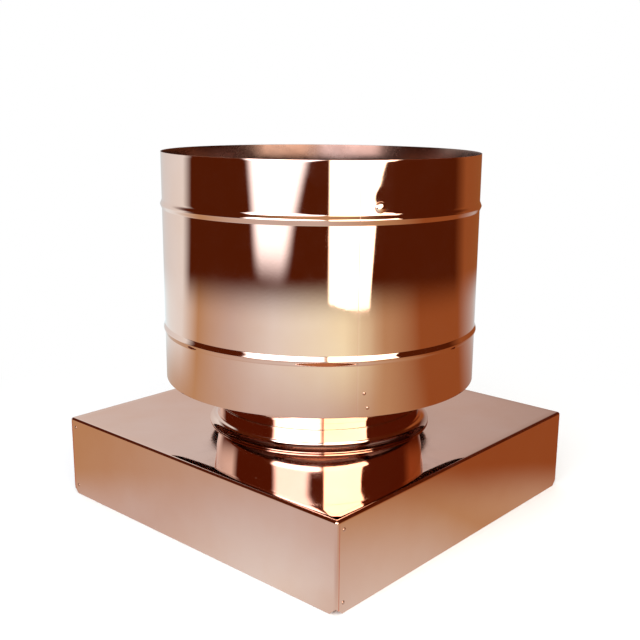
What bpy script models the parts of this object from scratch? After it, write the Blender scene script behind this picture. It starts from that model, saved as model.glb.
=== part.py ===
"""Copper chimney cowl: an open drum on a flue pipe, standing on a square slip-over pan.

Metres, +Z up. The origin is at the middle of the pan's lower edges, and the pan's
sides run along X and Y. The lap seam of the drum is turned towards the pan's corner
at -X -Y.
"""

import math

import bmesh
import bpy
from mathutils import Matrix, Vector

# Sheet and fits
SHEET = 0.0010
STRAP_THICKNESS = 0.0015
CLEARANCE = 0.0003

# Pan
PAN_SIDE = 0.356
SKIRT_HEIGHT = 0.080
PAN_FOLD = 0.0026
CORNER_CLIP = 0.007

# Flue pipe, in two lengths that slip together, and the flared collar at its foot
PIPE_RADIUS = 0.1015
SPIGOT_HEIGHT = 0.070
PIPE_LIFT = 0.0255
PIPE_LENGTH = 0.098
COLLAR_HEIGHT = 0.019
FLARE_HEIGHT = 0.0079
FLARE_WIDTH = 0.0092

# Drum
DRUM_RADIUS = 0.1525
DRUM_HEIGHT = 0.2176
DRUM_LIFT = 0.0484
UPPER_BEAD_DROP = 0.0486
LOWER_BEAD_RISE = 0.0502
BEAD_HEIGHT = 0.0092
BEAD_DEPTH = 0.0017
SEAM_ANGLE = math.radians(-120.0)
SEAM_LAP = 0.011

# Weather disc
DISC_RADIUS = 0.119
DISC_RISE = 0.020
DISC_LIP = 0.008
DISC_ABOVE_PIPE = 0.044

# Straps
STRAP_COUNT = 4
STRAP_WIDTH = 0.020
STRAP_FOOT = 0.030
STRAP_REACH = 0.026
STRAP_BEND = 0.004

# Facets
ROUND_SIDES = 64
DRUM_SIDES = 80
FLARE_POINTS = 6
BEAD_POINTS = 5
DISH_POINTS = 4

# Places that follow from the sizes above
PAN_TOP = SKIRT_HEIGHT
DRUM_BOTTOM = PAN_TOP + DRUM_LIFT
DRUM_TOP = DRUM_BOTTOM + DRUM_HEIGHT
COLLAR_FOOT = PAN_TOP + CLEARANCE
PIPE_BOTTOM = PAN_TOP + PIPE_LIFT
PIPE_TOP = PIPE_BOTTOM + PIPE_LENGTH
DISC_EDGE = PIPE_TOP + DISC_ABOVE_PIPE
SPIGOT_RADIUS = PIPE_RADIUS - SHEET - CLEARANCE
COLLAR_RADIUS = SPIGOT_RADIUS + CLEARANCE + SHEET
FLUE_HOLE_RADIUS = SPIGOT_RADIUS - SHEET

COPPER = (0.93, 0.47, 0.33)
BRIGHT_ROUGHNESS = 0.08
STRAP_ROUGHNESS = 0.25


def clear_scene():
    """Empty the scene of objects and collections."""
    for obj in list(bpy.data.objects):
        bpy.data.objects.remove(obj, do_unlink=True)
    for collection in list(bpy.data.collections):
        bpy.data.collections.remove(collection)


def new_collection(name):
    """Collection under the scene's own one."""
    collection = bpy.data.collections.new(name)
    bpy.context.scene.collection.children.link(collection)
    return collection


def copper(name, roughness):
    """Bare copper with its own polish."""
    material = bpy.data.materials.new(name)
    material.use_nodes = True
    shader = material.node_tree.nodes["Principled BSDF"]
    shader.inputs["Base Color"].default_value = (*COPPER, 1.0)
    shader.inputs["Metallic"].default_value = 1.0
    shader.inputs["Roughness"].default_value = roughness
    material.diffuse_color = (*COPPER, 1.0)
    return material


def place(mesh_name, bm, collection):
    """Mesh object from a bmesh, in a collection."""
    mesh = bpy.data.meshes.new(mesh_name)
    bm.to_mesh(mesh)
    bm.free()
    obj = bpy.data.objects.new(mesh_name, mesh)
    collection.objects.link(obj)
    return obj


def solidify(obj, thickness, offset):
    """Wall of even thickness on an open surface."""
    wall = obj.modifiers.new("Sheet", "SOLIDIFY")
    wall.thickness = thickness
    wall.offset = offset
    wall.use_even_offset = True
    return wall


def turned_sheet(name, profile, sides, roughness, collection):
    """Sheet turned about Z. The profile is its outer side, from top to bottom."""
    bm = bmesh.new()
    points = [bm.verts.new((radius, 0.0, height)) for radius, height in profile]
    for upper, lower in zip(points, points[1:]):
        bm.edges.new((upper, lower))
    obj = place(name, bm, collection)
    screw = obj.modifiers.new("Turn", "SCREW")
    screw.steps = sides
    screw.render_steps = sides
    screw.use_merge_vertices = True
    screw.merge_threshold = 0.00001
    screw.use_smooth_shade = True
    solidify(obj, SHEET, -1.0)
    obj.data.materials.append(copper(name, roughness))
    return obj


def bead(middle):
    """Round swelling of a wall at a height, as (proud of the wall, height) pairs."""
    half = BEAD_HEIGHT / 2
    arc = (half ** 2 + BEAD_DEPTH ** 2) / (2 * BEAD_DEPTH)
    points = []
    for step in range(BEAD_POINTS):
        rise = half - BEAD_HEIGHT * step / (BEAD_POINTS - 1)
        proud = math.sqrt(arc ** 2 - rise ** 2) - arc + BEAD_DEPTH
        points.append((proud, middle + rise))
    return points


def make_pan(collection, cutters):
    """Folded tray: a square top with four skirts, a flue hole and clipped lower corners."""
    bm = bmesh.new()
    bmesh.ops.create_cube(bm, size=1.0)
    bmesh.ops.scale(bm, verts=bm.verts, vec=(PAN_SIDE, PAN_SIDE, SKIRT_HEIGHT))
    bmesh.ops.translate(bm, verts=bm.verts, vec=(0.0, 0.0, SKIRT_HEIGHT / 2))
    underside = [face for face in bm.faces if face.normal.z < -0.5]
    bmesh.ops.delete(bm, geom=underside, context="FACES_ONLY")
    pan = place("pan", bm, collection)
    fold = pan.modifiers.new("Fold", "BEVEL")
    fold.width = PAN_FOLD
    fold.segments = 3
    fold.limit_method = "ANGLE"
    solidify(pan, SHEET, -1.0)
    pan.data.materials.append(copper("pan", BRIGHT_ROUGHNESS))
    pan.data.shade_smooth()
    pan.data.set_sharp_from_angle(angle=math.radians(30))

    bm = bmesh.new()
    bmesh.ops.create_cone(
        bm,
        cap_ends=True,
        segments=ROUND_SIDES,
        radius1=FLUE_HOLE_RADIUS,
        radius2=FLUE_HOLE_RADIUS,
        depth=SKIRT_HEIGHT,
        matrix=Matrix.Translation((0.0, 0.0, PAN_TOP)),
    )
    cut(pan, place("flue_hole", bm, cutters))

    for index in range(4):
        turn = Matrix.Rotation(math.radians(90.0 * index), 4, "Z")
        cut(pan, corner_cutter(f"corner_{index + 1}", turn, cutters))
    return pan


def corner_cutter(name, turn, cutters):
    """Block whose one face slices the lower corner of two skirts at 45 degrees."""
    size = PAN_SIDE / 4
    outward = Vector((1.0, 1.0, -1.0)).normalized()
    half = PAN_SIDE / 2
    on_face = Vector((half, half, CORNER_CLIP))
    bm = bmesh.new()
    bmesh.ops.create_cube(bm, size=size)
    tilt = outward.to_track_quat("Z", "Y").to_matrix().to_4x4()
    centre = Matrix.Translation(on_face + outward * size / 2)
    bmesh.ops.transform(bm, matrix=turn @ centre @ tilt, verts=bm.verts)
    return place(name, bm, cutters)


def cut(obj, cutter):
    """Take a cutter's shape out of an object."""
    cutter.hide_render = True
    cutter.display_type = "WIRE"
    boolean = obj.modifiers.new(cutter.name, "BOOLEAN")
    boolean.operation = "DIFFERENCE"
    boolean.object = cutter
    boolean.solver = "EXACT"


def join(obj, addition):
    """Fuse another shape with an object."""
    addition.hide_render = True
    addition.display_type = "WIRE"
    boolean = obj.modifiers.new(addition.name, "BOOLEAN")
    boolean.operation = "UNION"
    boolean.object = addition
    boolean.solver = "EXACT"


def make_foot_collar(collection):
    """Collar whose foot flares out in a hollow curve on the pan."""
    profile = [(COLLAR_RADIUS, COLLAR_FOOT + COLLAR_HEIGHT)]
    for step in range(FLARE_POINTS):
        angle = math.pi / 2 * step / (FLARE_POINTS - 1)
        radius = COLLAR_RADIUS + FLARE_WIDTH * (1.0 - math.cos(angle))
        height = COLLAR_FOOT + SHEET + (FLARE_HEIGHT - SHEET) * (1.0 - math.sin(angle))
        profile.append((radius, height))
    return turned_sheet("foot_collar", profile, ROUND_SIDES, BRIGHT_ROUGHNESS, collection)


def make_spigot(collection):
    """Short pipe on the pan, inside the collar and the cowl's pipe."""
    foot = PAN_TOP + CLEARANCE
    profile = [(SPIGOT_RADIUS, foot + SPIGOT_HEIGHT), (SPIGOT_RADIUS, foot)]
    return turned_sheet("spigot", profile, ROUND_SIDES, BRIGHT_ROUGHNESS, collection)


def make_cowl_pipe(collection):
    """Pipe that slips over the spigot and opens inside the drum."""
    profile = [(PIPE_RADIUS, PIPE_TOP), (PIPE_RADIUS, PIPE_BOTTOM)]
    return turned_sheet("cowl_pipe", profile, ROUND_SIDES, BRIGHT_ROUGHNESS, collection)


def make_drum(collection, cutters):
    """Open band with two rolled beads, lapped over itself at the seam."""
    wall = [(0.0, DRUM_TOP)]
    wall += bead(DRUM_TOP - UPPER_BEAD_DROP)
    wall += bead(DRUM_BOTTOM + LOWER_BEAD_RISE)
    wall += [(0.0, DRUM_BOTTOM)]
    profile = [(DRUM_RADIUS + proud, height) for proud, height in wall]
    drum = turned_sheet("drum", profile, DRUM_SIDES, BRIGHT_ROUGHNESS, collection)

    lapped = [(radius + SHEET / 2, height) for radius, height in profile]
    lap = turned_sheet("seam_lap", lapped, 1, BRIGHT_ROUGHNESS, cutters)
    turn = lap.modifiers["Turn"]
    turn.angle = SEAM_LAP / DRUM_RADIUS
    turn.use_merge_vertices = False
    lap.rotation_euler.z = SEAM_ANGLE
    join(drum, lap)
    return drum


def make_weather_disc(collection):
    """Shallow dished disc with a turned-down lip, above the pipe's mouth."""
    profile = []
    for step in range(DISH_POINTS):
        share = step / (DISH_POINTS - 1)
        profile.append((DISC_RADIUS * share, DISC_EDGE + DISC_RISE * (1.0 - share ** 2)))
    profile.append((DISC_RADIUS, DISC_EDGE - DISC_LIP))
    return turned_sheet("weather_disc", profile, ROUND_SIDES, BRIGHT_ROUGHNESS, collection)


def strap_route():
    """Corners of a strap's middle line, as (distance from the axis, height) pairs."""
    half = STRAP_THICKNESS / 2
    drum_inside = (DRUM_RADIUS - SHEET) * math.cos(math.pi / DRUM_SIDES)
    chord = math.sqrt(drum_inside ** 2 - (STRAP_WIDTH / 2) ** 2)
    on_pipe = PIPE_RADIUS + CLEARANCE + half
    on_drum = chord - CLEARANCE - half
    arm = PIPE_TOP - STRAP_FOOT / 4
    under_disc = DISC_EDGE - DISC_LIP - CLEARANCE - half
    return [
        (on_pipe, arm - STRAP_FOOT),
        (on_pipe, arm),
        (on_drum, arm),
        (on_drum, under_disc),
        (DISC_RADIUS - STRAP_REACH, under_disc),
    ]


def make_strap(index, collection):
    """Flat bar bent from the pipe out to the drum, up its wall and in under the disc."""
    bm = bmesh.new()
    route = [bm.verts.new((radius, -STRAP_WIDTH / 2, height)) for radius, height in strap_route()]
    middle_line = [bm.edges.new(pair) for pair in zip(route, route[1:])]
    strip = bmesh.ops.extrude_edge_only(bm, edges=middle_line)
    far_side = [item for item in strip["geom"] if isinstance(item, bmesh.types.BMVert)]
    bmesh.ops.translate(bm, verts=far_side, vec=(0.0, STRAP_WIDTH, 0.0))
    strap = place(f"strap_{index + 1}", bm, collection)
    bend = strap.modifiers.new("Bend", "BEVEL")
    bend.width = STRAP_BEND
    bend.segments = 3
    bend.limit_method = "ANGLE"
    solidify(strap, STRAP_THICKNESS, 0.0)
    strap.rotation_euler.z = math.tau * index / STRAP_COUNT
    strap.data.materials.append(copper(strap.name, STRAP_ROUGHNESS))
    return strap


def main():
    clear_scene()
    parts = new_collection("chimney_cowl")
    cutters = new_collection("cutters")
    make_pan(parts, cutters)
    make_foot_collar(parts)
    make_spigot(parts)
    make_cowl_pipe(parts)
    make_drum(parts, cutters)
    make_weather_disc(parts)
    for index in range(STRAP_COUNT):
        make_strap(index, parts)


main()
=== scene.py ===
import math

import bmesh
import bpy
from mathutils import Matrix, Vector


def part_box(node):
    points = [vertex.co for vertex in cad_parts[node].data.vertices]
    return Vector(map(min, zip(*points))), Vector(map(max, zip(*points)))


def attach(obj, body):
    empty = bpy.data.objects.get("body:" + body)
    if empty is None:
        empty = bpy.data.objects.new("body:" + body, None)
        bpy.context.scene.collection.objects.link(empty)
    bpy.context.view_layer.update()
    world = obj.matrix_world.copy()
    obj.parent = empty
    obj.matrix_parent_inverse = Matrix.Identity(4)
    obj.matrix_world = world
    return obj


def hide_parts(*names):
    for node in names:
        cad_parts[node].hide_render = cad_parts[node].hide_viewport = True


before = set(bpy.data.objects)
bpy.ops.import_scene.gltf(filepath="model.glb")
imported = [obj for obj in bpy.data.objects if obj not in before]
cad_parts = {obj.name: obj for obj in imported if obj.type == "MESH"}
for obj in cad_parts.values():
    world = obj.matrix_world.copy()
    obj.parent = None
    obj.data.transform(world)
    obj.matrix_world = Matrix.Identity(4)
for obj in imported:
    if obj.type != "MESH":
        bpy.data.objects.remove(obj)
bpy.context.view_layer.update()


# Camera. It stands 0.90 m from the cowl's axis, a little higher than the drum's rim, and
# looks at the corner of the pan that lies at -X -Y.
camera_place = Vector((-0.6710, -0.5980, 0.3882))
camera_heading = math.radians(-48.297)
camera_dip = math.radians(13.081)
camera_roll = math.radians(0.465)

bpy.ops.object.select_all(action="DESELECT")
bpy.ops.object.camera_add(location=camera_place)
camera = bpy.context.object
camera.name = "photo_view"
camera.matrix_world = (
    Matrix.Translation(camera_place)
    @ Matrix.Rotation(camera_heading, 4, "Z")
    @ Matrix.Rotation(math.pi / 2 - camera_dip, 4, "X")
    @ Matrix.Rotation(camera_roll, 4, "Z")
)
camera.data.lens = 51.85
camera.data.sensor_width = 36.0
camera.data.clip_start = 0.02
bpy.context.scene.camera = camera
bpy.context.scene.view_settings.view_transform = "Standard"


# Pan. One sheet of polished copper, 1 mm thick, with its four sides folded down into skirts
# that slip over the chimney. Each corner is closed by a lap with two small rivets.
pan_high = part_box("pan")[1]
sheet = 0.001
pan_half = pan_high.x
pan_top = pan_high.z
pan_fold = 0.0026
corner_clip = 0.007
flue_hole = 0.0992
hole_steps = 192
hole_cutter_depth = 0.06
panel_step = 0.02
fold_border = 0.0010
skirt_lines = (0.006, 0.020, 0.034, 0.048, 0.062)
corner_gap = 0.0009
gap_depth = 0.0005
level = 0.999
hair = 0.0002
panel_low_ring = 0.1
panel_sag = 0.140
panel_hollow = 0.035
panel_crown = 0.010
panel_fall = 6.0


def choose(piece, kind, test):
    """Select only those vertices, edges or faces of a piece in edit mode that pass a test."""
    bpy.ops.mesh.select_mode(type={"verts": "VERT", "edges": "EDGE", "faces": "FACE"}[kind])
    bpy.ops.mesh.select_all(action="DESELECT")
    shape = bmesh.from_edit_mesh(piece.data)
    for item in getattr(shape, kind):
        item.select_set(bool(test(item)))
    shape.select_flush_mode()
    bmesh.update_edit_mesh(piece.data)


def select_only(piece):
    """Make a piece the only selected one and the active one."""
    for other in bpy.context.selected_objects:
        other.select_set(False)
    piece.select_set(True)
    bpy.context.view_layer.objects.active = piece


def apply_modifier(piece, kind, **settings):
    """Add a modifier with its settings and apply it."""
    select_only(piece)
    modifier = piece.modifiers.new(kind.title(), kind)
    for setting, value in settings.items():
        setattr(modifier, setting, value)
    bpy.ops.object.modifier_apply(modifier=modifier.name)


def round_edges(piece, edge_round):
    """Round the sharp edges of a piece a little."""
    apply_modifier(
        piece,
        "BEVEL",
        width=edge_round,
        segments=2,
        limit_method="ANGLE",
        angle_limit=math.radians(60),
    )


def give_wall(piece, thickness, edge_round):
    """Turn an open surface into sheet: thickness inwards, and slightly rounded edges."""
    apply_modifier(piece, "SOLIDIFY", thickness=thickness, offset=-1.0, use_even_offset=True)
    round_edges(piece, edge_round)


def smooth(piece, degrees):
    """Shade smooth up to an angle, and keep flat panels flat beside their folds."""
    select_only(piece)
    bpy.ops.object.shade_smooth_by_angle(angle=math.radians(degrees))
    apply_modifier(piece, "WEIGHTED_NORMAL", weight=90, keep_sharp=True)


def copper_finish(name, clean, tarnished, gloss, smudge, roll_mark, roll_scale, form=None):
    """Bare copper: colour drifts from clean to tarnished, with smudges and rolling marks."""
    finish = bpy.data.materials.new(name)
    finish.use_nodes = True
    nodes = finish.node_tree.nodes
    link = finish.node_tree.links.new
    shader = nodes["Principled BSDF"]
    shader.inputs["Metallic"].default_value = 1.0
    place = nodes.new("ShaderNodeTexCoord")

    cloud = nodes.new("ShaderNodeTexNoise")
    cloud.inputs["Scale"].default_value = 7.0
    cloud.inputs["Detail"].default_value = 4.0
    cloud.inputs["Roughness"].default_value = 0.6
    link(place.outputs["Object"], cloud.inputs["Vector"])
    tone = nodes.new("ShaderNodeValToRGB")
    tone.color_ramp.elements[0].position = 0.35
    tone.color_ramp.elements[0].color = (*clean, 1.0)
    tone.color_ramp.elements[1].position = 0.72
    tone.color_ramp.elements[1].color = (*tarnished, 1.0)
    link(cloud.outputs["Fac"], tone.inputs["Fac"])
    link(tone.outputs["Color"], shader.inputs["Base Color"])

    wipe = nodes.new("ShaderNodeTexNoise")
    wipe.inputs["Scale"].default_value = 38.0
    wipe.inputs["Detail"].default_value = 7.0
    wipe.inputs["Roughness"].default_value = 0.65
    wipe.inputs["Distortion"].default_value = 0.4
    link(place.outputs["Object"], wipe.inputs["Vector"])
    haze = nodes.new("ShaderNodeMapRange")
    haze.inputs["From Min"].default_value = 0.42
    haze.inputs["From Max"].default_value = 0.78
    haze.inputs["To Min"].default_value = gloss
    haze.inputs["To Max"].default_value = gloss + smudge
    link(wipe.outputs["Fac"], haze.inputs["Value"])
    link(haze.outputs["Result"], shader.inputs["Roughness"])

    stretch = nodes.new("ShaderNodeMapping")
    stretch.inputs["Scale"].default_value = roll_scale
    link(place.outputs["Object"], stretch.inputs["Vector"])
    wave = nodes.new("ShaderNodeTexNoise")
    wave.inputs["Scale"].default_value = 1.0
    wave.inputs["Detail"].default_value = 1.0
    link(stretch.outputs["Vector"], wave.inputs["Vector"])
    dent = nodes.new("ShaderNodeBump")
    dent.inputs["Strength"].default_value = 1.0
    dent.inputs["Distance"].default_value = roll_mark
    link(wave.outputs["Fac"], dent.inputs["Height"])

    grain = nodes.new("ShaderNodeTexNoise")
    grain.inputs["Scale"].default_value = 420.0
    grain.inputs["Detail"].default_value = 3.0
    link(place.outputs["Object"], grain.inputs["Vector"])
    polish = nodes.new("ShaderNodeBump")
    polish.inputs["Strength"].default_value = 1.0
    polish.inputs["Distance"].default_value = 0.000003
    link(grain.outputs["Fac"], polish.inputs["Height"])
    link(dent.outputs["Normal"], polish.inputs["Normal"])
    if form:
        panel = nodes.new("ShaderNodeBump")
        panel.inputs["Strength"].default_value = 1.0
        panel.inputs["Distance"].default_value = 1.0
        link(form(finish.node_tree, place.outputs["Object"]), panel.inputs["Height"])
        link(panel.outputs["Normal"], dent.inputs["Normal"])
    link(polish.outputs["Normal"], shader.inputs["Normal"])
    return finish


def work_out(tree, kind, *terms):
    """Math node of a kind over sockets and plain numbers."""
    node = tree.nodes.new("ShaderNodeMath")
    node.operation = kind
    for socket, term in zip(node.inputs, terms):
        if isinstance(term, (int, float)):
            socket.default_value = term
        else:
            tree.links.new(term, socket)
    return node.outputs["Value"]


def sagging_panel(tree, source):
    """Height of the pan's top: it sags towards the collar and rounds off near the folds."""
    split = tree.nodes.new("ShaderNodeSeparateXYZ")
    tree.links.new(source, split.inputs["Vector"])
    across = work_out(tree, "MULTIPLY", split.outputs["X"], split.outputs["X"])
    along = work_out(tree, "MULTIPLY", split.outputs["Y"], split.outputs["Y"])
    from_axis = work_out(tree, "SQRT", work_out(tree, "ADD", across, along))
    from_collar = work_out(tree, "SUBTRACT", from_axis, panel_low_ring)
    squared = work_out(tree, "MULTIPLY", from_collar, from_collar)
    bowl = work_out(tree, "SQRT", work_out(tree, "ADD", squared, panel_hollow ** 2))
    rise = work_out(tree, "MULTIPLY", bowl, panel_sag)
    side_x = work_out(tree, "ABSOLUTE", split.outputs["X"])
    side_y = work_out(tree, "ABSOLUTE", split.outputs["Y"])
    rounding = None
    for side in (side_x, side_y):
        near = work_out(tree, "SUBTRACT", side, pan_half - panel_crown)
        near = work_out(tree, "MAXIMUM", near, 0.0)
        drop = work_out(tree, "MULTIPLY", work_out(tree, "MULTIPLY", near, near), panel_fall)
        rounding = drop if rounding is None else work_out(tree, "ADD", rounding, drop)
    return work_out(tree, "SUBTRACT", rise, rounding)


def finish_piece(piece, name, material, *nodes):
    """Name a piece, give it its material and let it stand for CAD nodes."""
    piece.name = name
    piece.data.name = name
    piece.data.materials.clear()
    piece.data.materials.append(material)
    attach(piece, "root")
    if nodes:
        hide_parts(*nodes)


bpy.ops.object.select_all(action="DESELECT")
bpy.ops.mesh.primitive_cube_add(size=1.0)
pan = bpy.context.object
bpy.ops.object.mode_set(mode="EDIT")
bpy.ops.transform.resize(
    value=(2 * pan_half, 2 * pan_half, pan_top), center_override=(0.0, 0.0, 0.0)
)
bpy.ops.transform.translate(value=(0.0, 0.0, pan_top / 2))
choose(pan, "faces", lambda face: face.normal.z < -0.5)
bpy.ops.mesh.delete(type="ONLY_FACE")
choose(pan, "edges", lambda edge: len(edge.link_faces) == 2)
bpy.ops.mesh.bevel(offset=pan_fold, segments=6, affect="EDGES")

beside_fold = pan_fold + fold_border
panel_lines = [step * panel_step for step in range(-8, 9)]
panel_lines += [beside_fold - pan_half, pan_half - beside_fold]
for line in panel_lines:
    for axis in (Vector((1.0, 0.0, 0.0)), Vector((0.0, 1.0, 0.0))):
        bpy.ops.mesh.select_all(action="SELECT")
        bpy.ops.mesh.bisect(plane_co=axis * line, plane_no=axis)
for height in (*skirt_lines, pan_top - beside_fold):
    bpy.ops.mesh.select_all(action="SELECT")
    bpy.ops.mesh.bisect(plane_co=(0.0, 0.0, height), plane_no=(0.0, 0.0, 1.0))
for side_x in (-1, 1):
    for side_y in (-1, 1):
        bpy.ops.mesh.select_all(action="SELECT")
        bpy.ops.mesh.bisect(
            plane_co=(side_x * pan_half, side_y * pan_half, corner_clip),
            plane_no=(side_x, side_y, -1.0),
            clear_outer=True,
        )


def right_of_corner(face):
    """Narrow column of a skirt, just beside the fold at its left end."""
    middle = face.calc_center_median()
    if middle.z > pan_top - beside_fold:
        return False
    for turn in range(4):
        seen = Matrix.Rotation(math.radians(90 * turn), 3, "Z") @ middle
        across = seen.x + pan_half
        if abs(seen.y + pan_half) < hair and pan_fold < across < pan_fold + corner_gap:
            return True
    return False


for turn in range(4):
    axis = Matrix.Rotation(math.radians(-90 * turn), 3, "Z") @ Vector((1.0, 0.0, 0.0))
    bpy.ops.mesh.select_all(action="SELECT")
    bpy.ops.mesh.bisect(plane_co=-axis * (pan_half - pan_fold - corner_gap), plane_no=axis)
choose(pan, "faces", right_of_corner)
bpy.ops.mesh.extrude_region_shrink_fatten(TRANSFORM_OT_shrink_fatten={"value": -gap_depth})
bpy.ops.object.mode_set(mode="OBJECT")
apply_modifier(pan, "SOLIDIFY", thickness=sheet, offset=-1.0, use_even_offset=False)

bpy.ops.object.select_all(action="DESELECT")
bpy.ops.mesh.primitive_cylinder_add(
    vertices=hole_steps,
    radius=flue_hole,
    depth=hole_cutter_depth,
    location=(0.0, 0.0, pan_top),
)
hole_cutter = bpy.context.object
apply_modifier(pan, "BOOLEAN", operation="DIFFERENCE", object=hole_cutter, solver="EXACT")
bpy.data.objects.remove(hole_cutter, do_unlink=True)
smooth(pan, 24)

pan_copper = copper_finish(
    "polished_pan_copper",
    clean=(0.93, 0.60, 0.49),
    tarnished=(0.90, 0.52, 0.38),
    gloss=0.045,
    smudge=0.11,
    roll_mark=0.0006,
    roll_scale=(7.0, 7.0, 9.0),
)
pan_top_copper = copper_finish(
    "polished_pan_top_copper",
    clean=(0.93, 0.60, 0.49),
    tarnished=(0.90, 0.52, 0.38),
    gloss=0.03,
    smudge=0.05,
    roll_mark=0.0002,
    roll_scale=(7.0, 7.0, 9.0),
    form=sagging_panel,
)
finish_piece(pan, "pan_sheet", pan_copper, "pan")
pan.data.materials.append(pan_top_copper)
for face in pan.data.polygons:
    if face.normal.z > level and face.center.z > pan_top - hair:
        face.material_index = 1


# Rivets of the pan's corners. Copper snap heads 3.4 mm wide, two to a corner, which hold the
# lap behind each skirt's end. They sit on the skirt's outer side.
rivet_radius = 0.0017
rivet_height = 0.0007
rivet_sink = 0.0003
rivet_steps = 20
rivet_inset = 0.0085
rivet_heights = (0.009, 0.071)
weld_gap = 0.00001


def draw_profile(name, points):
    """Line of edges through points given as (distance from the axis, height)."""
    bpy.ops.object.select_all(action="DESELECT")
    bpy.ops.mesh.primitive_plane_add(size=0.01)
    piece = bpy.context.object
    piece.name = name
    bpy.ops.object.mode_set(mode="EDIT")
    choose(piece, "verts", lambda vert: vert.index > 0)
    bpy.ops.mesh.delete(type="VERT")
    bpy.ops.mesh.select_all(action="SELECT")
    start = Vector((points[0][0], 0.0, points[0][1]))
    shape = bmesh.from_edit_mesh(piece.data)
    shape.verts.ensure_lookup_table()
    bpy.ops.transform.translate(value=start - shape.verts[0].co)
    for before, after in zip(points, points[1:]):
        step = (after[0] - before[0], 0.0, after[1] - before[1])
        bpy.ops.mesh.extrude_vertices_move(TRANSFORM_OT_translate={"value": step})
    return piece


def turn_profile(piece, steps, angle=math.tau, start=0.0):
    """Spin the drawn profile about Z, weld it and turn its faces outwards."""
    bpy.ops.mesh.select_all(action="SELECT")
    if start:
        bpy.ops.transform.rotate(value=-start, orient_axis="Z", center_override=(0.0, 0.0, 0.0))
    bpy.ops.mesh.spin(steps=steps, angle=angle, center=(0.0, 0.0, 0.0), axis=(0.0, 0.0, 1.0))
    bpy.ops.mesh.select_all(action="SELECT")
    if angle == math.tau:
        bpy.ops.mesh.remove_doubles(threshold=weld_gap)
    bpy.ops.mesh.normals_make_consistent(inside=False)
    bpy.ops.object.mode_set(mode="OBJECT")


head_profile = []
for step in range(6):
    rise = math.radians(90 - 18 * step)
    head_profile.append((rivet_radius * math.cos(rise), rivet_height * math.sin(rise)))
head_profile.append((rivet_radius, -rivet_sink))
rivet = draw_profile("pan_rivets", head_profile)
turn_profile(rivet, rivet_steps)
head = rivet.data.copy()
bpy.data.objects.remove(rivet, do_unlink=True)


def set_rivets(name, places):
    """Copies of the head at places given as (position, outward direction, size), joined."""
    heads = []
    for position, outward, size in places:
        copy = bpy.data.objects.new(name, head.copy())
        bpy.context.collection.objects.link(copy)
        turned = Vector(outward).to_track_quat("Z", "Y").to_matrix().to_4x4()
        copy.data.transform(Matrix.Translation(position) @ turned @ Matrix.Scale(size, 4))
        heads.append(copy)
    bpy.ops.object.select_all(action="DESELECT")
    for copy in heads:
        copy.select_set(True)
    bpy.context.view_layer.objects.active = heads[0]
    bpy.ops.object.join()
    return bpy.context.object


corner_places = []
for turn in range(4):
    spin = Matrix.Rotation(math.radians(90 * turn), 3, "Z")
    for height in rivet_heights:
        on_skirt = Vector((rivet_inset - pan_half, -pan_half, height))
        corner_places.append((spin @ on_skirt, spin @ Vector((0.0, -1.0, 0.0)), 1.0))
pan_rivets = set_rivets("pan_rivets", corner_places)
smooth(pan_rivets, 40)
rivet_copper = copper_finish(
    "rivet_copper",
    clean=(0.80, 0.46, 0.35),
    tarnished=(0.45, 0.24, 0.17),
    gloss=0.16,
    smudge=0.2,
    roll_mark=0.0001,
    roll_scale=(90.0, 90.0, 90.0),
)
finish_piece(pan_rivets, "pan_rivets", rivet_copper)


# Foot collar. A short spun ring that flares out on the pan and is soldered to it, so that
# rain runs off round the flue hole.
collar_low, collar_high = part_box("foot_collar")
collar_radius = 0.1015
flare_width = 0.0092
flare_height = 0.0079
flare_steps = 12
collar_lip = 0.0035
round_steps = 256
sheet_round = 0.00025

collar_points = [(collar_radius, collar_high.z), (collar_radius, collar_high.z - collar_lip)]
for step in range(flare_steps + 1):
    angle = math.radians(90 * step / flare_steps)
    radius = collar_radius + flare_width * (1.0 - math.cos(angle))
    height = collar_low.z + sheet + (flare_height - sheet) * (1.0 - math.sin(angle))
    collar_points.append((radius, height))
collar = draw_profile("foot_collar_sheet", collar_points)
turn_profile(collar, round_steps)
give_wall(collar, sheet, sheet_round)
smooth(collar, 40)
pipe_copper = copper_finish(
    "polished_pipe_copper",
    clean=(0.95, 0.62, 0.50),
    tarnished=(0.90, 0.53, 0.39),
    gloss=0.03,
    smudge=0.06,
    roll_mark=0.0002,
    roll_scale=(16.0, 16.0, 5.0),
)
finish_piece(collar, "foot_collar_sheet", pipe_copper, "foot_collar")


# Spigot. The pan's own short pipe of 1 mm copper, which stands in the collar and which the
# cowl's pipe slips over.
spigot_low, spigot_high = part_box("spigot")
spigot_radius = 0.1002
spigot_points = [(spigot_radius, spigot_high.z), (spigot_radius, spigot_low.z)]
spigot = draw_profile("spigot_sheet", spigot_points)
turn_profile(spigot, round_steps)
give_wall(spigot, sheet, sheet_round)
smooth(spigot, 40)
finish_piece(spigot, "spigot_sheet", pipe_copper, "spigot")


# Cowl pipe. The 203 mm pipe of the cowl itself, in 1 mm copper. It slips over the spigot and
# opens inside the drum.
pipe_low, pipe_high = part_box("cowl_pipe")
pipe_radius = 0.1015
pipe_points = [(pipe_radius, pipe_high.z), (pipe_radius, pipe_low.z)]
pipe = draw_profile("cowl_pipe_sheet", pipe_points)
turn_profile(pipe, round_steps)
give_wall(pipe, sheet, sheet_round)
smooth(pipe, 40)
finish_piece(pipe, "cowl_pipe_sheet", pipe_copper, "cowl_pipe")


# Straps. Four flat copper bars of 20 by 1.5 mm, bent by hand from the pipe out to the drum, up
# its wall and in under the disc, and soldered where they touch.
strap_width = 0.020
strap_thickness = 0.0015
strap_bend = 0.004
strap_round = 0.0003
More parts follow.
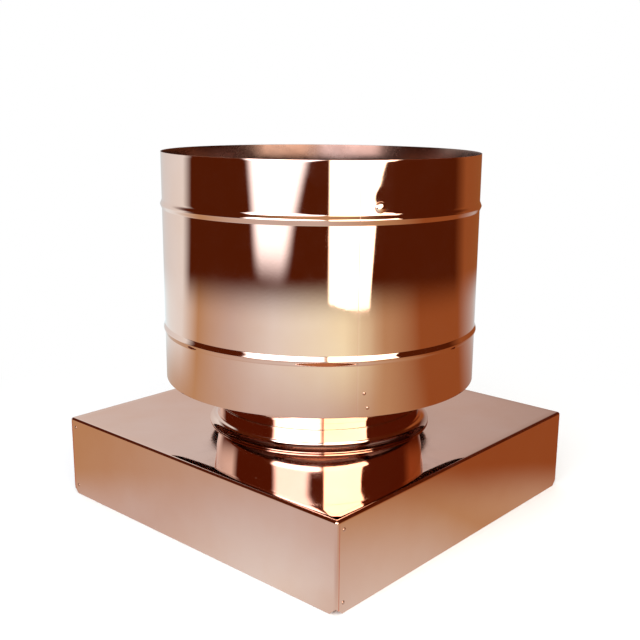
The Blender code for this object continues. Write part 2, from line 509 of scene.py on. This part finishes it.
# Corners of a bar's middle line, as (distance from the axis, height).
strap_route = [
    (0.10255, 0.1665),
    (0.10255, 0.1965),
    (0.14999, 0.1965),
    (0.14999, 0.23845),
    (0.093, 0.23845),
]
strap_copper = copper_finish(
    "mill_finished_strap_copper",
    clean=(0.82, 0.48, 0.36),
    tarnished=(0.62, 0.33, 0.23),
    gloss=0.2,
    smudge=0.18,
    roll_mark=0.0003,
    roll_scale=(40.0, 40.0, 40.0),
)
for number in range(4):
    strap = draw_profile("strap", strap_route)
    bpy.ops.mesh.select_all(action="SELECT")
    bpy.ops.transform.translate(value=(0.0, -strap_width / 2, 0.0))
    bpy.ops.mesh.extrude_edges_move(TRANSFORM_OT_translate={"value": (0.0, strap_width, 0.0)})
    choose(
        strap,
        "edges",
        lambda edge: len(edge.link_faces) == 2
        and abs(edge.verts[0].co.y - edge.verts[1].co.y) > strap_width / 2,
    )
    bpy.ops.mesh.bevel(offset=strap_bend, segments=7, affect="EDGES")
    bpy.ops.mesh.select_all(action="SELECT")
    bpy.ops.mesh.normals_make_consistent(inside=False)
    bpy.ops.object.mode_set(mode="OBJECT")
    apply_modifier(
        strap, "SOLIDIFY", thickness=strap_thickness, offset=0.0, use_even_offset=True
    )
    round_edges(strap, strap_round)
    strap.data.transform(Matrix.Rotation(math.radians(90 * number), 4, "Z"))
    smooth(strap, 40)
    finish_piece(strap, f"strap_bar_{number + 1}", strap_copper, f"strap_{number + 1}")


# Drum. The wide wind band: one sheet rolled to 305 mm with two beads, closed by a riveted lap
# to the right of the pan's front corner. The sheet steps out there, the large rivet has dented
# it, and the top of its inner face is dressed thinner towards the rim.
drum_low, drum_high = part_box("drum")
drum_radius = 0.1525
drum_steps = 360
drum_round = 0.0003
bead_height = 0.0092
bead_depth = 0.0017
bead_middles = (drum_high.z - 0.0486, drum_low.z + 0.0502)
rim_drops = (0.0, 0.002, 0.005, 0.009, 0.013)
close_rows = 11
close_top = 0.3305
close_step = 0.0027
band_heights = (0.270, 0.238, 0.206)
foot_heights = (0.152, drum_low.z + 0.002, drum_low.z)
seam_angle = math.radians(-120.0)
seam_lap = 0.011
joggle_steps = 5
lap_rise = 0.00035
big_rivet_turn = -119.6
big_rivet_height = 0.3075
# Dents, each as (height, depth, reach), and the dressing of the rim, each as (height of the
# strip below the rim, how far its inner face moves outwards).
dents = ((big_rivet_height, 0.00040, 0.016), (0.3200, 0.00016, 0.024))
dent_spread = 0.0006
rim_dressing = ((0.0012, 0.00012), (0.0035, 0.0002), (0.007, 0.00025), (0.011, 0.00018))
inner_face = drum_radius - 0.00015


def rolled_bead(middle):
    """Roof-shaped swelling with a soft ridge, as (distance from the axis, height) points."""
    points = []
    for step in range(19):
        share = 1.0 - step / 9.0
        climb = 1.0 - abs(share)
        swell = 0.6 * climb + 0.4 * climb ** 2 * (3.0 - 2.0 * climb)
        points.append((drum_radius + bead_depth * swell, middle + bead_height / 2 * share))
    return points


def outward_at(turn):
    """Direction away from the axis at a turn in degrees."""
    return Vector((math.cos(math.radians(turn)), math.sin(math.radians(turn)), 0.0))


drum_points = [(drum_radius, drum_high.z - drop) for drop in rim_drops]
drum_points += [(drum_radius, close_top - close_step * step) for step in range(close_rows)]
drum_points += rolled_bead(bead_middles[0])
drum_points += [(drum_radius, height) for height in band_heights]
drum_points += rolled_bead(bead_middles[1])
drum_points += [(drum_radius, height) for height in foot_heights]
drum = draw_profile("drum_sheet", drum_points)
lap_angle = seam_lap / drum_radius
turn_profile(drum, drum_steps, angle=math.tau + lap_angle, start=seam_angle - lap_angle / 2)
bpy.ops.object.mode_set(mode="EDIT")
lap_steps = round(drum_steps * lap_angle / (math.tau + lap_angle)) + 1
for step in range(joggle_steps + lap_steps):
    first = (drum_steps - step) * len(drum_points)
    rise = lap_rise * min(1.0, (joggle_steps + lap_steps - step) / joggle_steps)
    choose(drum, "verts", lambda vert: first <= vert.index < first + len(drum_points))
    swell = 1.0 + rise / drum_radius
    bpy.ops.transform.resize(value=(swell, swell, 1.0), center_override=(0.0, 0.0, 0.0))
big_rivet_way = outward_at(big_rivet_turn)
for height, depth, reach in dents:
    middle = big_rivet_way * (drum_radius + lap_rise) + Vector((0.0, 0.0, height))
    nearest = min((vert.co - middle).length for vert in bmesh.from_edit_mesh(drum.data).verts)
    choose(drum, "verts", lambda vert: (vert.co - middle).length < nearest + dent_spread)
    bpy.ops.transform.translate(
        value=big_rivet_way * -depth,
        use_proportional_edit=True,
        proportional_edit_falloff="SMOOTH",
        proportional_size=reach,
    )
bpy.ops.object.mode_set(mode="OBJECT")
give_wall(drum, sheet, drum_round)
bpy.ops.object.mode_set(mode="EDIT")
for drop, dressing in rim_dressing:
    choose(
        drum,
        "verts",
        lambda vert: vert.co.z > drum_high.z - drop and vert.co.xy.length < inner_face,
    )
    swell = 1.0 + dressing / drum_radius
    bpy.ops.transform.resize(value=(swell, swell, 1.0), center_override=(0.0, 0.0, 0.0))
bpy.ops.object.mode_set(mode="OBJECT")
smooth(drum, 40)
drum_copper = copper_finish(
    "polished_drum_copper",
    clean=(0.955, 0.638, 0.53),
    tarnished=(0.93, 0.57, 0.43),
    gloss=0.025,
    smudge=0.05,
    roll_mark=0.0004,
    roll_scale=(9.0, 9.0, 2.5),
)
finish_piece(drum, "drum_sheet", drum_copper, "drum")
# Inner face: a much darker copper as painted shade inside the drum, on a duller, rougher finish.
inside_painted_shade_copper = copper_finish(
    "dull_copper_with_painted_inside_shade",
    clean=(0.29, 0.17, 0.14),
    tarnished=(0.20, 0.09, 0.06),
    gloss=0.20,
    smudge=0.16,
    roll_mark=0.0004,
    roll_scale=(9.0, 9.0, 2.5),
)
drum.data.materials.append(inside_painted_shade_copper)
for face in drum.data.polygons:
    faces_axis = face.normal.xy.dot(face.center.xy) < 0.0
    if faces_axis and face.center.xy.length < drum_radius - hair:
        face.material_index = 1


# Rivets of the drum's seam. One larger bright head high up, which has pulled a small dent into
# the sheet, and two small dull ones near the lower edge.
big_rivet_size = 2.9
big_rivet_rise = 0.0002
low_rivet_size = 0.9
low_rivet_spots = ((-123.8, 0.1497), (-122.6, 0.1366))


def seam_rivet(turn, height, size, proud):
    """Place of a head on the drum: its turn in degrees, its height and how proud it sits."""
    outward = outward_at(turn)
    return (outward * (drum_radius + proud) + Vector((0.0, 0.0, height)), outward, size)


high_rivet = set_rivets(
    "drum_rivet_high",
    [seam_rivet(big_rivet_turn, big_rivet_height, big_rivet_size, big_rivet_rise)],
)
smooth(high_rivet, 40)
finish_piece(high_rivet, "drum_rivet_high", drum_copper)
low_rivets = set_rivets(
    "drum_rivets_low",
    [seam_rivet(turn, height, low_rivet_size, lap_rise) for turn, height in low_rivet_spots],
)
smooth(low_rivets, 40)
finish_piece(low_rivets, "drum_rivets_low", rivet_copper)


# Weather disc. A shallow dished disc with a turned-down lip, held by the straps above the
# pipe's mouth, which keeps rain out of the flue.
disc_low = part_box("weather_disc")[0]
disc_radius = 0.119
disc_edge = 0.2475
disc_rise = 0.020
disc_rings = 14
disc_steps = 192
disc_points = []
for step in range(disc_rings + 1):
    share = step / disc_rings
    disc_points.append((disc_radius * share, disc_edge + disc_rise * (1.0 - share ** 2)))
disc_points.append((disc_radius, disc_low.z))
disc = draw_profile("weather_disc_sheet", disc_points)
turn_profile(disc, disc_steps)
give_wall(disc, sheet, sheet_round)
smooth(disc, 35)
finish_piece(disc, "weather_disc_sheet", pipe_copper, "weather_disc")


# Floor. A plain pale floor that carries the cowl. In the copper it glows instead with a
# painted reflection: cooler on the left and warmer on the right, darker close to the cowl,
# and falling off into the dark room in front.
floor_half = 6.0
floor_drop = 0.0005
sweep_start = 0.24
sweep_end = 0.60
facing = math.radians(138.29)

bpy.ops.object.select_all(action="DESELECT")
bpy.ops.mesh.primitive_plane_add(size=2 * floor_half, location=(0.0, 0.0, -floor_drop))
floor = bpy.context.object
floor.name = "floor"


def camera_azimuth(tree, source):
    """Node that gives 0.5 towards the camera, less to its left and more to its right."""
    swing = tree.nodes.new("ShaderNodeVectorRotate")
    swing.rotation_type = "Z_AXIS"
    swing.inputs["Angle"].default_value = facing
    tree.links.new(source, swing.inputs["Vector"])
    split = tree.nodes.new("ShaderNodeSeparateXYZ")
    tree.links.new(swing.outputs["Vector"], split.inputs["Vector"])
    bearing = tree.nodes.new("ShaderNodeMath")
    bearing.operation = "ARCTAN2"
    tree.links.new(split.outputs["Y"], bearing.inputs[0])
    tree.links.new(split.outputs["X"], bearing.inputs[1])
    share = tree.nodes.new("ShaderNodeMapRange")
    share.inputs["From Min"].default_value = -math.pi
    share.inputs["From Max"].default_value = math.pi
    tree.links.new(bearing.outputs["Value"], share.inputs["Value"])
    return share.outputs["Result"]


def azimuth_ramp(tree, source, stops):
    """Colour ramp over the azimuth. Stops are (degrees right of the camera, colour)."""
    ramp = tree.nodes.new("ShaderNodeValToRGB")
    band = ramp.color_ramp
    while len(band.elements) < len(stops):
        band.elements.new(0.5)
    for element, (degrees, colour) in zip(band.elements, stops):
        element.position = degrees / 360 + 0.5
        element.color = (*colour, 1.0)
    tree.links.new(source, ramp.inputs["Fac"])
    return ramp.outputs["Color"]


def mix_colour(tree, share, first, second):
    """Blend two colours by a share."""
    blend = tree.nodes.new("ShaderNodeMix")
    blend.data_type = "RGBA"
    tree.links.new(share, blend.inputs["Factor"])
    for socket, colour in ((blend.inputs[6], first), (blend.inputs[7], second)):
        if isinstance(colour, tuple):
            socket.default_value = (*colour, 1.0)
        else:
            tree.links.new(colour, socket)
    return blend.outputs[2]


floor_paint = bpy.data.materials.new("pale_floor_with_painted_reflection")
floor_paint.use_nodes = True
floor_tree = floor_paint.node_tree
floor_tree.nodes.clear()
floor_out = floor_tree.nodes.new("ShaderNodeOutputMaterial")
floor_place = floor_tree.nodes.new("ShaderNodeTexCoord")
floor_azimuth = camera_azimuth(floor_tree, floor_place.outputs["Object"])
from_axis = floor_tree.nodes.new("ShaderNodeVectorMath")
from_axis.operation = "LENGTH"
floor_tree.links.new(floor_place.outputs["Object"], from_axis.inputs[0])


def soft_step(tree, source, start, end):
    """Soft step from 0 at the start to 1 at the end."""
    step = tree.nodes.new("ShaderNodeMapRange")
    step.interpolation_type = "SMOOTHSTEP"
    step.inputs["From Min"].default_value = start
    step.inputs["From Max"].default_value = end
    tree.links.new(source, step.inputs["Value"])
    return step.outputs["Result"]


# What the copper mirrors is a painted reflection in six plain colours: a backdrop behind and a
# dark room in front, and a floor whose rings each take over between two distances from the axis.
# The greyer, darker rings close to the axis are a painted shadow of the cowl.
grey = (0.60, 0.60, 0.60)
cool_pale = (0.80, 0.95, 1.00)
warm_pale = (0.95, 1.10, 0.85)
tan = (0.50, 0.35, 0.20)
rust = (0.30, 0.10, 0.03)
dark_brown = (0.08, 0.015, 0.003)
dark_room = [
    (-180, grey),
    (-110, cool_pale),
    (-100, dark_brown),
    (105, dark_brown),
    (120, rust),
    (160, rust),
    (180, grey),
]
painted_reflection_rings = [
    (0.00, 0.01, [(-180, grey), (-60, grey), (-10, cool_pale), (60, tan), (180, grey)]),
    # Painted shadow of the cowl: greyer and darker than the rings further out.
    (0.20, 0.32, [
        (-180, grey),
        (-90, tan),
        (-40, grey),
        (0, grey),
        (40, tan),
        (75, rust),
        (110, rust),
        (180, grey),
    ]),
    (0.45, 0.85, [
        (-180, cool_pale),
        (-110, cool_pale),
        (-90, tan),
        (-60, grey),
        (-30, cool_pale),
        (15, warm_pale),
        (45, tan),
        (70, rust),
        (110, rust),
        (180, cool_pale),
    ]),
    (1.00, 1.50, dark_room),
]
painted_reflection_colour = grey
for start, end, stops in painted_reflection_rings:
    ring = azimuth_ramp(floor_tree, floor_azimuth, stops)
    share = soft_step(floor_tree, from_axis.outputs["Value"], start, end)
    painted_reflection_colour = mix_colour(floor_tree, share, painted_reflection_colour, ring)
floor_painted_reflection_glow = floor_tree.nodes.new("ShaderNodeEmission")
floor_tree.links.new(painted_reflection_colour, floor_painted_reflection_glow.inputs["Color"])
floor_matt = floor_tree.nodes.new("ShaderNodeBsdfDiffuse")
floor_matt.inputs["Color"].default_value = (0.94, 0.935, 0.93, 1.0)
floor_sweep = floor_tree.nodes.new("ShaderNodeEmission")
floor_sweep.inputs["Color"].default_value = (1.0, 1.0, 1.0, 1.0)
floor_plain = floor_tree.nodes.new("ShaderNodeMixShader")
sweep_share = soft_step(floor_tree, from_axis.outputs["Value"], sweep_start, sweep_end)
floor_tree.links.new(sweep_share, floor_plain.inputs["Fac"])
floor_tree.links.new(floor_matt.outputs["BSDF"], floor_plain.inputs[1])
floor_tree.links.new(floor_sweep.outputs["Emission"], floor_plain.inputs[2])
# Glossy rays see the floor's painted reflection glow; the camera and all other rays see the
# plain floor.
floor_path = floor_tree.nodes.new("ShaderNodeLightPath")
floor_mix = floor_tree.nodes.new("ShaderNodeMixShader")
floor_tree.links.new(floor_path.outputs["Is Glossy Ray"], floor_mix.inputs["Fac"])
floor_tree.links.new(floor_plain.outputs["Shader"], floor_mix.inputs[1])
floor_tree.links.new(floor_painted_reflection_glow.outputs["Emission"], floor_mix.inputs[2])
floor_tree.links.new(floor_mix.outputs["Shader"], floor_out.inputs["Surface"])
floor.data.materials.append(floor_paint)


# Room. White to the eye, and even soft light on the floor. What the copper mirrors is a dark
# brown room in front and a pale backdrop behind, under a ceiling that is tan towards the camera
# and dark at the sides.
ceiling_start = 0.17
ceiling_full = 0.32
room = bpy.data.worlds.new("studio_room")
room.use_nodes = True
bpy.context.scene.world = room
room_tree = room.node_tree
room_tree.nodes.clear()
room_out = room_tree.nodes.new("ShaderNodeOutputWorld")
room_place = room_tree.nodes.new("ShaderNodeTexCoord")
room_azimuth = camera_azimuth(room_tree, room_place.outputs["Generated"])
horizon = azimuth_ramp(room_tree, room_azimuth, dark_room)
ceiling = azimuth_ramp(room_tree, room_azimuth, [
    (-180, grey),
    (-150, cool_pale),
    (-135, dark_brown),
    (-60, dark_brown),
    (-20, tan),
    (20, tan),
    (55, dark_brown),
    (150, dark_brown),
    (180, grey),
])
room_split = room_tree.nodes.new("ShaderNodeSeparateXYZ")
room_tree.links.new(room_place.outputs["Generated"], room_split.inputs["Vector"])
overhead = soft_step(room_tree, room_split.outputs["Z"], ceiling_start, ceiling_full)
room_seen = mix_colour(room_tree, overhead, horizon, ceiling)
room_path = room_tree.nodes.new("ShaderNodeLightPath")
room_colour = mix_colour(
    room_tree, room_path.outputs["Is Glossy Ray"], (1.0, 1.0, 1.0), room_seen
)
room_glow = room_tree.nodes.new("ShaderNodeBackground")
room_tree.links.new(room_colour, room_glow.inputs["Color"])
room_tree.links.new(room_glow.outputs["Background"], room_out.inputs["Surface"])


# Lights. Two large softboxes in front of the cowl, a cool one on the left and a warm one on
# the right. The cool one has blurred edges and is brighter high up, and both are wider there.
def softbox(name, azimuth, left, right, bottom, blur, colour, strength):
    """Glowing screen that faces the cowl, unseen by the camera, with soft leaning sides.

    Left and right each say where a side is at the floor and where the screen is widest. It
    fades in between the two heights of bottom. Strength is given low down and high up.
    """
    bpy.ops.object.select_all(action="DESELECT")
    bpy.ops.mesh.primitive_plane_add(size=1.0)
    screen = bpy.context.object
    screen.name = name
    angle = -facing + math.radians(azimuth)
    spot = Vector((box_distance * math.cos(angle), box_distance * math.sin(angle), box_tall / 2))
    aim = Matrix.Rotation(angle + math.pi / 2, 4, "Z") @ Matrix.Rotation(math.pi / 2, 4, "X")
    stretch = Matrix.Diagonal((box_wide, box_tall, 1.0, 1.0))
    screen.matrix_world = Matrix.Translation(spot) @ aim @ stretch
    glow = bpy.data.materials.new(name)
    glow.use_nodes = True
    tree = glow.node_tree
    tree.nodes.clear()
    out = tree.nodes.new("ShaderNodeOutputMaterial")
    place = tree.nodes.new("ShaderNodeTexCoord")
    split = tree.nodes.new("ShaderNodeSeparateXYZ")
    tree.links.new(place.outputs["Object"], split.inputs["Vector"])
    across = work_out(tree, "MULTIPLY", split.outputs["X"], box_wide)
    height = work_out(tree, "MULTIPLY", work_out(tree, "ADD", split.outputs["Y"], 0.5), box_tall)
    up_share = work_out(tree, "DIVIDE", work_out(tree, "MAXIMUM", height, 0.0), box_widest)
    open_share = work_out(tree, "MINIMUM", work_out(tree, "POWER", up_share, box_flare), 1.0)
    shares = []
    for side, sign in ((left, 1.0), (right, -1.0)):
        lean = work_out(tree, "MULTIPLY", open_share, side[1] - side[0])
        edge = work_out(tree, "ADD", lean, side[0])
        inside = work_out(tree, "MULTIPLY", work_out(tree, "SUBTRACT", across, edge), sign)
        shares.append(soft_step(tree, inside, -blur / 2, blur / 2))
    shares.append(soft_step(tree, height, bottom[0], bottom[1]))
    from_top = work_out(tree, "SUBTRACT", box_tall, height)
    shares.append(soft_step(tree, from_top, 0.0, box_top_fade))
    lit = shares[0]
    for share in shares[1:]:
        lit = work_out(tree, "MULTIPLY", lit, share)
    emit = tree.nodes.new("ShaderNodeEmission")
    emit.inputs["Color"].default_value = (*colour, 1.0)
    higher = soft_step(tree, height, box_high_start, box_high_full)
    gain = work_out(tree, "MULTIPLY", higher, strength[1] - strength[0])
    power = work_out(tree, "ADD", gain, strength[0])
    tree.links.new(power, emit.inputs["Strength"])
    clear = tree.nodes.new("ShaderNodeBsdfTransparent")
    mix = tree.nodes.new("ShaderNodeMixShader")
    tree.links.new(lit, mix.inputs["Fac"])
    tree.links.new(clear.outputs["BSDF"], mix.inputs[1])
    tree.links.new(emit.outputs["Emission"], mix.inputs[2])
    tree.links.new(mix.outputs["Shader"], out.inputs["Surface"])
    screen.data.materials.append(glow)
    screen.visible_camera = False
    screen.visible_shadow = False


box_distance = 1.15
box_tall = 1.0
box_wide = 1.6
box_widest = 0.42
box_flare = 1.6
box_top_fade = 0.1
box_high_start = 0.30
box_high_full = 0.44
softbox(
    "cool_softbox",
    azimuth=-26,
    left=(-0.31, -0.52),
    right=(0.03, 0.60),
    bottom=(0.035, 0.15),
    blur=0.19,
    colour=(0.80, 0.90, 1.0),
    strength=(2.4, 6.0),
)
softbox(
    "warm_softbox",
    azimuth=24,
    left=(-0.39, -0.39),
    right=(0.17, 0.66),
    bottom=(-0.12, 0.07),
    blur=0.05,
    colour=(1.0, 0.95, 0.80),
    strength=(3.4, 3.8),
)
